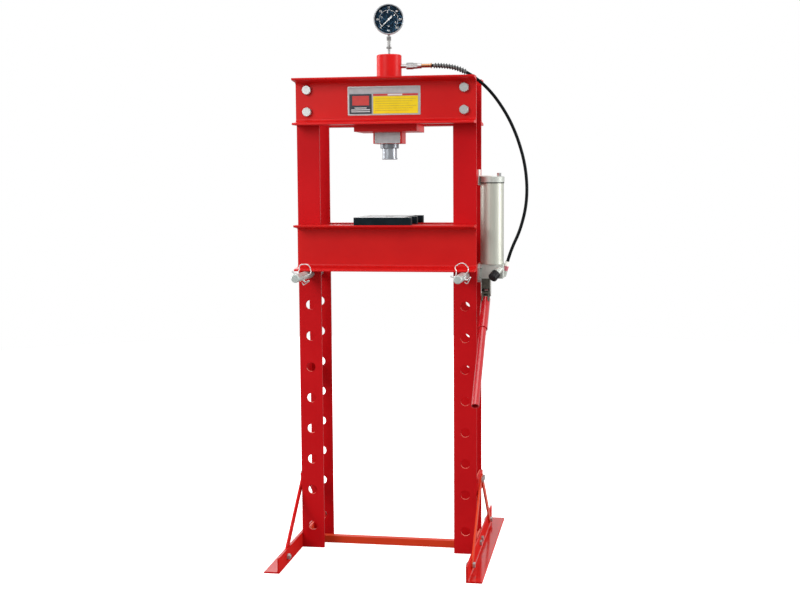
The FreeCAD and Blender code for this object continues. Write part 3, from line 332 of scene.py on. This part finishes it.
LOOKS = [
    (post_red, ["left_post", "right_post"]),
    (foot_red, ["left_foot", "right_foot"]),
    (red, ["front_top_beam", "rear_top_beam", "left_front_brace", "left_rear_brace",
           "left_brace_lug", "right_brace_lug", "cylinder_mount_plate", "guide_block", "cylinder_barrel",
           "bed_front_channel", "bed_rear_channel", "bed_spacers"]),
    (lever_red, ["lever_socket", "lever_handle"]),
    (orange, ["right_front_brace", "right_rear_brace", "base_crossbar"]),
    (zinc, ["beam_bolts", "beam_nuts", "foot_bolts", "foot_nuts", "pump_screws", "name_plate", "sign_plate"]),
    (wire_bright, ["left_lock_pin", "right_lock_pin"]),
    (steel, ["hose_nipple", "hose_couplings", "hose_ferrule", "filler_plug", "pump_piston", "fulcrum_pin"]),
    (stem_steel, ["gauge_pipe", "gauge_case"]),
    (bright, ["gauge_bezel"]),
    (pin_steel, ["left_bed_pin", "right_bed_pin"]),
    (ground, ["ram"]),
    (gland_steel, ["gland_ring"]),
    (pale, ["reservoir_clip", "port_ferrule"]),
    (rose, ["port_nut"]),
    (cast, ["pump_block", "reservoir_cap", "valve_neck"]),
    (tube, ["reservoir_tube"]),
    (linkage, ["lever_fork"]),
    (highlight_link_steel, ["fulcrum_links"]),
    (copper, ["hose_sleeve"]),
    (arbor, ["arbor_plate"]),
    (black, ["release_knob"]),
    (dial_blue, ["gauge_dial"]),
    (white_paint, ["gauge_needle"]),
    (clear, ["gauge_glass"]),
]
for look, names in LOOKS:
    for name in names:
        nodes[name].data.materials.clear()
        nodes[name].data.materials.append(look)


# Making pieces

def add_piece(name, mesh, body, look, smooth=True):
    piece = bpy.data.objects.new(name, mesh)
    scene.collection.objects.link(piece)
    mesh.materials.append(look)
    for face in mesh.polygons:
        face.use_smooth = smooth
    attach(piece, body)
    return piece


def angles(sides):
    """Equal steps round a circle."""
    return [2 * math.pi * k / sides for k in range(sides)]


def join_rings(work, one, two):
    """Faces between two rings of as many points."""
    for k in range(len(one)):
        m = (k + 1) % len(one)
        work.faces.new((one[k], one[m], two[m], two[k]))


def mesh_of(build, name):
    work = bmesh.new()
    build(work)
    bmesh.ops.recalc_face_normals(work, faces=work.faces)
    mesh = bpy.data.meshes.new(name)
    work.to_mesh(mesh)
    work.free()
    return mesh


def add_slab(work, outline, place, low, high):
    """Slab between two levels; place turns u, v and level into a point."""
    rings = [[work.verts.new(place(u, v, level)) for u, v in outline] for level in (low, high)]
    for ring in rings:
        work.faces.new(ring)
    for i in range(len(outline)):
        j = (i + 1) % len(outline)
        work.faces.new((rings[0][i], rings[0][j], rings[1][j], rings[1][i]))


def rounded(u0, u1, v0, v1, radius, steps=5):
    outline = []
    for cu, cv, start in ((u1 - radius, v0 + radius, -90), (u1 - radius, v1 - radius, 0),
                          (u0 + radius, v1 - radius, 90), (u0 + radius, v0 + radius, 180)):
        for i in range(steps + 1):
            turn = math.radians(start + 90 * i / steps)
            outline.append((cu + radius * math.cos(turn), cv + radius * math.sin(turn)))
    return outline


def front_plate(name, x0, x1, z0, z1, y0, y1, look, radius=0.001):
    """Upright plate with round corners on the frame, from y0 to y1."""
    build = lambda w: add_slab(w, rounded(x0, x1, z0, z1, radius), lambda u, v, level: (u, level, v), y0, y1)
    return add_piece(name, mesh_of(build, name), "frame", look, False)


QUICK_WAVE, SLOW_WAVE = 1.9, 0.73    # radians from point to point


def sweep(work, points, radius, sides, wave=0.0):
    """Closed-ended tube through points; wave makes its radius swell and shrink from point to point."""
    side = None
    rings = []
    for i, here in enumerate(points):
        ahead = (points[min(i + 1, len(points) - 1)] - points[max(i - 1, 0)]).normalized()
        if side is None:
            side = ahead.orthogonal()
        side = (side - ahead * side.dot(ahead)).normalized()
        up = ahead.cross(side)
        reach = radius * (1 + wave * math.sin(QUICK_WAVE * i) + 0.5 * wave * math.sin(SLOW_WAVE * i))
        rings.append([work.verts.new(here + (side * math.cos(t) + up * math.sin(t)) * reach)
                      for t in angles(sides)])
    for one, two in zip(rings, rings[1:]):
        join_rings(work, one, two)
    work.faces.new(rings[0])
    work.faces.new(rings[-1])


# Hose, with the route of part.py, and the wire guard round its first stretch

ROUTE = [(0.148, 1.681), (0.201, 1.681), (0.2655, 1.661), (0.3425, 1.6025), (0.407, 1.512), (0.448, 1.4175),
         (0.472, 1.3195), (0.475, 1.2165), (0.4525, 1.1205), (0.420173, 1.053095), (0.408320, 1.011760)]
HOSE_DIAMETER = 0.011


def add_hose():
    line = bpy.data.curves.new("hose_tube", "CURVE")
    line.dimensions = "3D"
    line.resolution_u = 24
    spline = line.splines.new("NURBS")
    spline.points.add(len(ROUTE) - 1)
    for point, (x, z) in zip(spline.points, ROUTE):
        point.co = (x, 0, z, 1)
    spline.order_u = 3
    spline.use_endpoint_u = True
    tube_object = bpy.data.objects.new("hose_tube", line)
    scene.collection.objects.link(tube_object)
    bpy.context.view_layer.update()
    read = bpy.data.meshes.new_from_object(tube_object)
    points = [v.co.copy() for v in read.vertices]
    bpy.data.meshes.remove(read)
    line.bevel_depth = HOSE_DIAMETER / 2
    line.bevel_resolution = 7
    line.use_fill_caps = True
    line.materials.append(rubber)
    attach(tube_object, "frame")
    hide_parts("hose")
    return tube_object, points


def along(points, distance):
    """Point and heading at a distance along a line of points."""
    for here, there in zip(points, points[1:]):
        run = (there - here).length
        if distance <= run:
            heading = (there - here).normalized()
            return here + heading * distance, heading
        distance -= run
    return points[-1], (points[-1] - points[-2]).normalized()


# Start along the hose, rise a turn, turns, wire diameter and play round the hose
GUARD_LEAD, GUARD_PITCH, GUARD_TURNS, GUARD_WIRE, GUARD_PLAY = 0.0084, 0.0094, 12, 0.0035, 0.0006

# The pale sleeve that paints glints between the guard's turns, where there is black hose: how far it shows
# past the guard, how thick it is, and its steps
GLINT_SLEEVE_REACH, GLINT_SLEEVE_THICKNESS, GLINT_SLEEVE_STEPS = 0.002, 0.0004, 40


def guard_line(points, samples=20):
    """Helix round the hose."""
    radius = HOSE_DIAMETER / 2 + GUARD_PLAY + GUARD_WIRE / 2
    across = Vector((0, 1, 0))
    result = []
    for i in range(GUARD_TURNS * samples + 1):
        turn = 2 * math.pi * i / samples
        centre, heading = along(points, GUARD_LEAD + GUARD_PITCH * i / samples)
        out = across.cross(heading)
        result.append(centre + (out * math.cos(turn) + across * math.sin(turn)) * radius)
    return result


def add_guard(work):
    sweep(work, guard_line(hose_points), GUARD_WIRE / 2, 8)


# Pale sleeve round the hose under the guard: painted glints between the guard's turns.
def add_braid(work):
    start = GUARD_LEAD - GLINT_SLEEVE_REACH
    length = GUARD_PITCH * GUARD_TURNS + 2 * GLINT_SLEEVE_REACH
    line = [along(hose_points, start + length * i / GLINT_SLEEVE_STEPS)[0] for i in range(GLINT_SLEEVE_STEPS + 1)]
    sweep(work, line, HOSE_DIAMETER / 2 + GLINT_SLEEVE_THICKNESS, 20)


hose_tube, hose_points = add_hose()
guard = add_piece("hose_guard", mesh_of(add_guard, "hose_guard"), "frame", spring_black)
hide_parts("hose_spring_guard")
hose_glint_sleeve = add_piece("hose_glint_sleeve", mesh_of(add_braid, "hose_glint_sleeve"), "frame", glint_sleeve)


# Floor

def add_floor(reach=6.0):
    outline = [(reach * math.cos(t), reach * math.sin(t)) for t in angles(64)]
    mesh = mesh_of(lambda w: add_slab(w, outline, lambda u, v, level: (u, v, level), -0.02, 0.0), "floor")
    floor = bpy.data.objects.new("floor", mesh)
    mesh.materials.append(studio_floor())
    scene.collection.objects.link(floor)


add_floor()


# Gauge face: scale, marks and numbers on the dial

TURN = math.radians(9.0)
GAUGE_ACROSS = Vector((math.cos(TURN), math.sin(TURN), 0))
GAUGE_FACING = Vector((math.sin(TURN), -math.cos(TURN), 0))
GAUGE_CENTRE = Vector((0, 0, 1.839))
DIAL_FRONT = 0.008
FULL_SCALE = 60
PSI_SHARE = 6.895 / FULL_SCALE    # a thousand psi as a share of the scale in MPa

# Dial marks: thickness, then radii and half widths
MARK_THICKNESS = 0.0002
TICK_FOOT = 0.0320
LONG_TICK, MIDDLE_TICK, SHORT_TICK = (0.0355, 0.0007), (0.0343, 0.0004), (0.0335, 0.00022)
INNER_TICK_FOOT, INNER_TICK = 0.0290, (0.0312, 0.0004)
CIRCLE_INNER, CIRCLE_OUTER, CIRCLE_STEPS = 0.0312, 0.0321, 54

# Numbers: size and radius
NUMBER_SIZE, NUMBER_RADIUS = 0.0090, 0.0396
INNER_SIZE, INNER_RADIUS = 0.0080, 0.0245


def on_dial(u, v, level):
    return GAUGE_CENTRE + GAUGE_ACROSS * u + Vector((0, 0, v)) + GAUGE_FACING * (DIAL_FRONT + level)


def dial_angle(share):
    """From zero at the lower left, clockwise over 270 degrees."""
    return math.radians(225 - 270 * share)


def add_tick(work, share, foot, tip, half):
    turn = dial_angle(share)
    out = (math.cos(turn), math.sin(turn))
    corners = [(r * out[0] - s * out[1], r * out[1] + s * out[0])
               for r, s in ((foot, -half), (tip, -half), (tip, half), (foot, half))]
    add_slab(work, corners, on_dial, 0.0, MARK_THICKNESS)


def add_scale(work):
    """Ticks outward from a circle, and a second set of ticks inward from it."""
    for i in range(FULL_SCALE + 1):
        tip, half = LONG_TICK if i % 10 == 0 else MIDDLE_TICK if i % 5 == 0 else SHORT_TICK
        add_tick(work, i / FULL_SCALE, TICK_FOOT, tip, half)
    for i in range(9):
        add_tick(work, i * PSI_SHARE, INNER_TICK_FOOT, *INNER_TICK)
    for i in range(CIRCLE_STEPS):
        start, end = dial_angle(i / CIRCLE_STEPS), dial_angle((i + 1) / CIRCLE_STEPS)
        corners = [(r * math.cos(t), r * math.sin(t)) for r, t in
                   ((CIRCLE_INNER, start), (CIRCLE_OUTER, start), (CIRCLE_OUTER, end), (CIRCLE_INNER, end))]
        add_slab(work, corners, on_dial, 0.0, MARK_THICKNESS)


def add_words(name, text, size, u, v):
    words = bpy.data.curves.new(name, "FONT")
    words.body = text
    words.size = size
    words.align_x = "CENTER"
    words.align_y = "CENTER"
    words.extrude = 0.0001
    words.offset = 0.0003
    words.resolution_u = 3
    words.materials.append(white_paint)
    piece = bpy.data.objects.new(name, words)
    axes = Matrix((GAUGE_ACROSS, Vector((0, 0, 1)), GAUGE_FACING)).transposed().to_4x4()
    piece.matrix_world = Matrix.Translation(on_dial(u, v, 0.0001)) @ axes
    scene.collection.objects.link(piece)
    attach(piece, "frame")


add_piece("dial_scale", mesh_of(add_scale, "dial_scale"), "frame", white_paint, False)
for i in range(7):
    turn = dial_angle(i / 6)
    add_words("dial_number_%d" % i, str(10 * i), NUMBER_SIZE,
              NUMBER_RADIUS * math.cos(turn), NUMBER_RADIUS * math.sin(turn))
for i in range(0, 9, 2):
    turn = dial_angle(i * PSI_SHARE)
    add_words("dial_inner_%d" % i, str(i), INNER_SIZE,
              INNER_RADIUS * math.cos(turn), INNER_RADIUS * math.sin(turn))
add_words("dial_unit", "MPa", 0.0060, -0.001, -0.0375)
add_words("dial_inner_unit", "psi", 0.0055, 0, -0.0225)


# Name plate: plain fields of colour

silver = plastic("silver print", (0.34, 0.37, 0.40), (0.42, 0.45, 0.48), (0.35, 0.45), gloss=0.3)
band_grey = plastic("grey print", (0.42, 0.44, 0.45), (0.50, 0.52, 0.53), (0.35, 0.45), gloss=0.3)
navy = plastic("navy print", (0.008, 0.014, 0.024), (0.012, 0.020, 0.034), (0.35, 0.45))
yellow = plastic("yellow print", (0.84, 0.64, 0.008), (0.90, 0.70, 0.012), (0.35, 0.45), gloss=0.2)
olive = plastic("olive print", (0.42, 0.33, 0.02), (0.48, 0.38, 0.03), (0.35, 0.45))
red_print = plastic("red print", (0.50, 0.02, 0.02), (0.58, 0.03, 0.02), (0.35, 0.45))
pale_print = plastic("pale print", (0.66, 0.68, 0.68), (0.76, 0.78, 0.78), (0.35, 0.45))


PRINT_STEP = 0.0002    # thickness of one layer of print
RIVET_RADIUS = 0.0022
RIVET_DOME = 0.45      # height as a share of the radius
RIVET_RINGS = 4
RIVET_SIDES = 14


def add_rivets(name, places, front):
    """Low domed drive rivets on an upright plate."""
    def build(work):
        for x, z in places:
            rings = []
            for k in range(RIVET_RINGS):
                lift = math.radians(90 * k / RIVET_RINGS)
                reach = RIVET_RADIUS * math.cos(lift)
                level = front - RIVET_DOME * RIVET_RADIUS * math.sin(lift)
                rings.append([work.verts.new((x + reach * math.cos(t), level, z + reach * math.sin(t)))
                              for t in angles(RIVET_SIDES)])
            for one, two in zip(rings, rings[1:]):
                join_rings(work, one, two)
            work.faces.new(rings[0])
            work.faces.new(rings[-1])
    add_piece(name, mesh_of(build, name), "frame", zinc)


def add_name_plate():
    """Three layers of print: the ground, then the large fields, then the block, bars and lines on them."""
    low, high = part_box("name_plate")
    x0, z0, x1, z1 = low.x, low.z, high.x, high.z
    ground_front = low.y - PRINT_STEP
    field_front = ground_front - PRINT_STEP
    mark_front = field_front - PRINT_STEP

    def field(name, x_low, x_high, z_low, z_high, look):
        front_plate(name, x_low, x_high, z_low, z_high, field_front, ground_front, look)

    def mark(name, x_low, x_high, z_low, z_high, look, radius=0.001):
        front_plate(name, x_low, x_high, z_low, z_high, mark_front, field_front, look, radius)

    rim = 0.003
    margin = 0.006
    left = x0 + margin
    middle = x0 + 0.083
    yellow_left = middle + 0.005
    right = x1 - 0.008
    foot = z0 + 0.005
    top = z1 - 0.0255
    front_plate("plate_ground", x0 + rim, x1 - rim, z0 + rim, z1 - rim, ground_front, low.y, silver)
    field("plate_band", x0 + margin, x1 - margin, z1 - 0.021, z1 - margin, band_grey)
    field("plate_navy", left, middle, foot, top, navy)
    mark("plate_block", left + 0.010, middle - 0.009, top - 0.038, top - 0.006, red_print)
    bar_level, bar_pitch, bar_height = foot + 0.0185, 0.0062, 0.0028
    for i, inset in enumerate((0.018, 0.006, 0.006)):
        level = bar_level - bar_pitch * i
        mark("plate_bar_%d" % i, left + inset, middle - inset, level, level + bar_height, pale_print, 0.0005)
    field("plate_strip", yellow_left, right, top - 0.007, top, red_print)
    mark("plate_strip_centre", middle + 0.055, middle + 0.105, top - 0.006, top - 0.001, pale_print)
    field("plate_yellow", yellow_left, right, foot, top - 0.008, yellow)
    line_level, line_pitch, line_height, line_step = top - 0.0175, 0.0078, 0.0011, 0.013
    for i in range(6):
        level = line_level - line_pitch * i
        line_end = right - margin - line_step * (i % 3)
        mark("plate_line_%d" % i, middle + 0.011, line_end, level, level + line_height, olive, 0.0003)
    places = [(x, z) for x in (x0 + margin, x1 - margin) for z in (z0 + 0.0035, z1 - 0.0045)]
    add_rivets("plate_rivets", places, ground_front)


def add_sign_plate():
    low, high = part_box("sign_plate")
    rim = 0.002
    rivet_inset = 0.005
    front = low.y - PRINT_STEP
    front_plate("sign_face", low.x + rim, high.x - rim, low.z + rim, high.z - rim, front, low.y, band_grey)
    middle = (low.z + high.z) / 2
    add_rivets("sign_rivets", [(low.x + rivet_inset, middle), (high.x - rivet_inset, middle)], front)


add_name_plate()
add_sign_plate()


# Weld beads

WELD_STEP = 0.0032
WELD_WAVE = 0.12
LUG_WELD = 0.0022
BED_WELD = 0.0026


def bead(name, ends, radius=0.0028, body="frame"):
    """Wavy beads from point to point, one per pair of ends."""
    def build(work):
        for start, end in ends:
            start, end = Vector(start), Vector(end)
            count = max(3, round((end - start).length / WELD_STEP))
            sweep(work, [start.lerp(end, i / count) for i in range(count + 1)], radius, 8, WELD_WAVE)
    add_piece(name, mesh_of(build, name), body, red)


def box_bead(name, low, high, z):
    """A bead round a box at the level z."""
    corners = [(low.x, low.y, z), (high.x, low.y, z), (high.x, high.y, z), (low.x, high.y, z)]
    bead(name, [(corners[i], corners[(i + 1) % 4]) for i in range(4)])


guide_low, guide_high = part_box("guide_block")
box_bead("guide_weld", guide_low, guide_high, guide_high.z)
for side in ("left", "right"):
    low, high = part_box(side + "_brace_lug")
    x = low.x if side == "right" else high.x
    front_line = ((x, low.y, low.z), (x, low.y, high.z))
    rear_line = ((x, high.y, low.z), (x, high.y, high.z))
    top_line = ((x, low.y, high.z), (x, high.y, high.z))
    bead(side + "_lug_weld", [front_line, rear_line, top_line], LUG_WELD)
bed_low, bed_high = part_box("bed_spacers")
spacer_thickness, weld_inset, weld_end = 0.008, 0.001, 0.004
ends = []
for x in (bed_low.x + spacer_thickness, bed_high.x - spacer_thickness):
    for y in (bed_low.y + weld_inset, bed_high.y - weld_inset):
        ends.append(((x, y, bed_low.z + weld_end), (x, y, bed_high.z - weld_end)))
bead("bed_weld", ends, BED_WELD, "bed")


# Pump: dark ring under the reservoir's cap as painted shade, bush and web between the fork's plates, plate
# between the links

SHADE_RING_RADIUS, SHADE_RING_SECTION = 0.0404, 0.0016
LEVER_ANGLE = math.radians(44.5)
LEVER_DROP = 0.0076
WEB_START, WEB_END, WEB_LOW, WEB_HIGH, WEB_HALF = 0.0075, 0.022, -0.0095, 0.0085, 0.0074
LINK_PLATE_HALF = 0.0138
LINK_PLATE_LOW, LINK_PLATE_HIGH = 0.9205, 0.9549
LINK_PLATE_FRONT, LINK_PLATE_BACK = 0.009, 0.006    # in front of the fulcrum
CORNER_RADIUS = 0.002

tube_low, tube_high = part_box("reservoir_tube")
tube_middle = (tube_low + tube_high) / 2
pin_low, pin_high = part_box("fulcrum_pin")
FULCRUM = (pin_low + pin_high) / 2
LEVER_AHEAD = Vector((0, -math.cos(LEVER_ANGLE), -math.sin(LEVER_ANGLE)))
LEVER_UP = Vector((0, -math.sin(LEVER_ANGLE), math.cos(LEVER_ANGLE)))


def add_ring(work, centre, radius, thickness, steps=48, sides=8):
    """Round ring about an upright axis."""
    rings = []
    for turn in angles(steps):
        ring = []
        for t in angles(sides):
            reach = radius + thickness * math.cos(t)
            x = centre[0] + reach * math.cos(turn)
            y = centre[1] + reach * math.sin(turn)
            ring.append(work.verts.new((x, y, centre[2] + thickness * math.sin(t))))
        rings.append(ring)
    for i in range(steps):
        join_rings(work, rings[i], rings[(i + 1) % steps])


# Dark rubber ring just under the reservoir's cap: painted shade, a dark thing put in the shadowed gap under
# the cap.
def add_seal(work):
    centre = (tube_middle.x, tube_middle.y, tube_high.z - SHADE_RING_SECTION)
    add_ring(work, centre, SHADE_RING_RADIUS, SHADE_RING_SECTION)


def add_bush(work, inner=0.0054, outer=0.0092, half=0.0073, sides=28):
    """Short tube along X round the fulcrum pin."""
    rings = []
    for x, radius in ((-half, inner), (-half, outer), (half, outer), (half, inner)):
        rings.append([work.verts.new(FULCRUM + Vector((x, radius * math.cos(t), radius * math.sin(t))))
                      for t in angles(sides)])
    for i in range(4):
        join_rings(work, rings[i], rings[(i + 1) % 4])


def on_lever(u, v, level):
    """Along the lever, across it, and sideways from the fulcrum."""
    return FULCRUM + Vector((level, 0, 0)) + LEVER_AHEAD * u + LEVER_UP * (v - LEVER_DROP)


def add_web(work):
    outline = rounded(WEB_START, WEB_END, WEB_LOW, WEB_HIGH, CORNER_RADIUS)
    add_slab(work, outline, on_lever, -WEB_HALF, WEB_HALF)


def upright(u, v, level):
    return Vector((u, level, v))


def add_link_plate(work):
    outline = rounded(FULCRUM.x - LINK_PLATE_HALF, FULCRUM.x + LINK_PLATE_HALF, LINK_PLATE_LOW,
                      LINK_PLATE_HIGH, CORNER_RADIUS)
    add_slab(work, outline, upright, FULCRUM.y - LINK_PLATE_FRONT, FULCRUM.y - LINK_PLATE_BACK)


# Dark ring under the cap: painted shade of the gap under it.
add_piece("cap_shade_ring", mesh_of(add_seal, "cap_shade_ring"), "frame", rubber)
add_piece("fork_bush", mesh_of(add_bush, "fork_bush"), "lever", linkage, False)
add_piece("fork_web", mesh_of(add_web, "fork_web"), "lever", linkage, False)
add_piece("link_plate", mesh_of(add_link_plate, "link_plate"), "frame", linkage, False)
